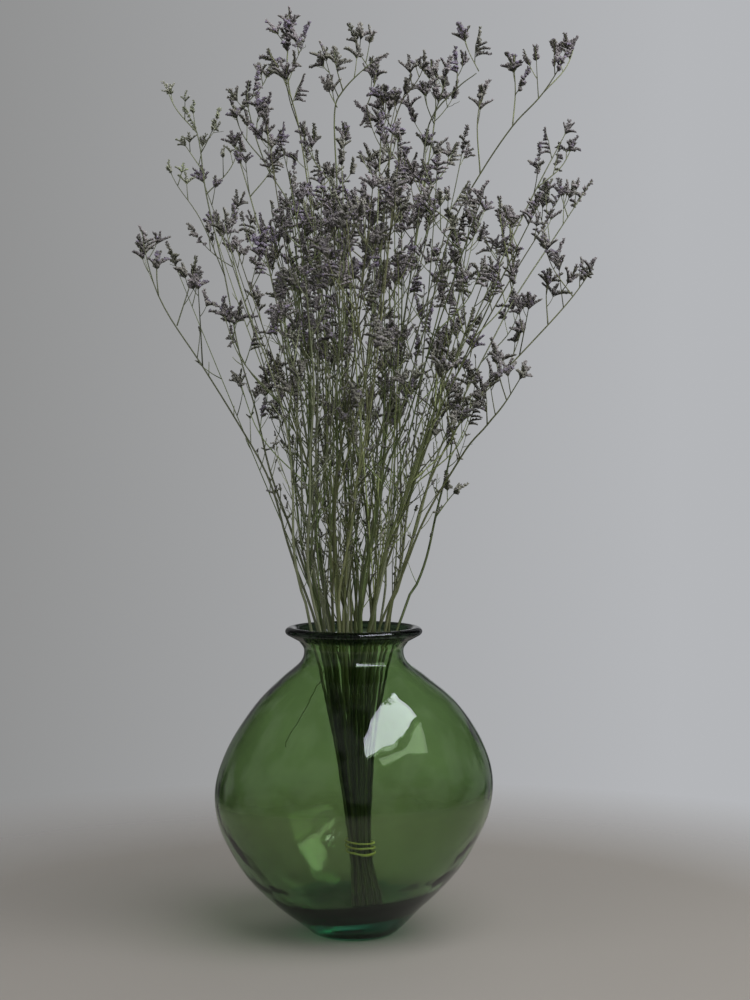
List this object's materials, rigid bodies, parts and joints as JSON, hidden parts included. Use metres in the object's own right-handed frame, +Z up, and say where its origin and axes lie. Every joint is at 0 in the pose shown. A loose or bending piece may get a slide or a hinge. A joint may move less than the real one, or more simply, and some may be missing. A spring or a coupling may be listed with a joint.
{
  "type": "preserved statice bunch in a vase",
  "caption": "Bunch of dried statice, cut stems with fine flowering side shoots, tied low down by a rubber band and standing in a round green hand-blown glass vase with a rolled rim.",
  "frame": {"origin": "middle of the flat underside of the vase's foot", "axes": "+Z up along the vase; the bunch is seen from the front when looking along +Y, with +X to the right"},
  "size_m": [0.39, 0.3488, 0.7781],
  "materials": {
    "green_glass": "clear, bottle green, fire polished",
    "yellow_rubber": "matt, slightly aged",
    "dried_stem": "dry, ridged, matt",
    "dried_flower": "papery, dry, matt"
  },
  "bodies": {
    "root": {"vase": "green_glass", "rubber_band": "yellow_rubber", "stem_01": "dried_stem", "stem_02": "dried_stem", "stem_03": "dried_stem", "stem_04": "dried_stem", "stem_05": "dried_stem", "stem_06": "dried_stem", "stem_07": "dried_stem", "stem_08": "dried_stem", "stem_09": "dried_stem", "stem_10": "dried_stem", "stem_11": "dried_stem", "stem_12": "dried_stem", "stem_13": "dried_stem", "stem_14": "dried_stem", "stem_15": "dried_stem", "stem_16": "dried_stem", "stem_17": "dried_stem", "stem_18": "dried_stem", "stem_19": "dried_stem", "stem_20": "dried_stem", "stem_21": "dried_stem", "stem_22": "dried_stem", "stem_23": "dried_stem", "stem_24": "dried_stem", "stem_25": "dried_stem", "stem_26": "dried_stem", "stem_27": "dried_stem", "stem_28": "dried_stem", "stem_29": "dried_stem", "stem_30": "dried_stem", "stem_31": "dried_stem", "stem_32": "dried_stem", "stem_33": "dried_stem", "stem_34": "dried_stem", "stem_35": "dried_stem", "stem_36": "dried_stem", "stem_37": "dried_stem", "stem_38": "dried_stem", "stem_39": "dried_stem", "stem_40": "dried_stem"}
  },
  "joints": []
}
